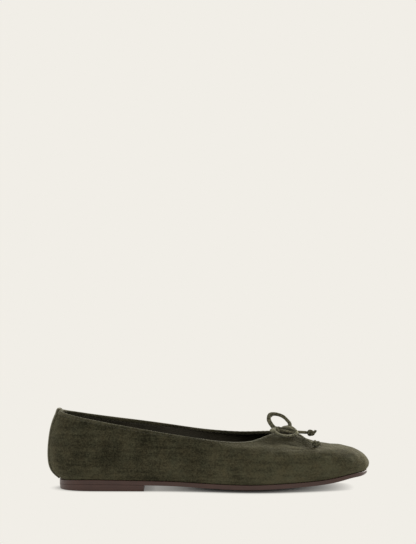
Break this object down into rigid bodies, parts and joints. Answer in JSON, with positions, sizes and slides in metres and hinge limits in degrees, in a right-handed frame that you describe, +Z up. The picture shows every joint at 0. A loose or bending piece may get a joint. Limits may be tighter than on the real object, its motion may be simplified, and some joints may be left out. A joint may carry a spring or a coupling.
{
  "type": "ballet flat",
  "caption": "Low slip-on shoe with a hollow rounded upper, deep open collar, thin sole, low heel block and a soft cord bow at the throat.",
  "frame": {"origin": "on the floor, at the middle of the shoe's box without its bow", "axes": "+X from heel to toe, +Y towards the big-toe side, +Z up"},
  "size_m": [0.2518, 0.0857, 0.0619],
  "materials": {
    "olive_suede": "olive suede with a short mottled nap",
    "suede_edge": "folded suede edge, a little paler than the wall",
    "suede_cord": "narrow folded suede cord, a little paler than the wall",
    "brown_sole_leather": "dark brown sole leather with a polished edge",
    "dark_lining": "dark brown lining leather"
  },
  "bodies": {
    "root": {"upper": "olive_suede", "topline_casing": "suede_edge", "back_strip": "olive_suede", "outsole": "brown_sole_leather", "heel_block": "brown_sole_leather", "insole": "dark_lining", "bow_knot": "suede_cord", "bow_loop_high": "suede_cord", "bow_loop_low": "suede_cord", "bow_end_free": "suede_cord", "bow_end_resting": "suede_cord", "end_knot_free": "suede_cord", "end_knot_resting": "suede_cord"}
  },
  "joints": []
}
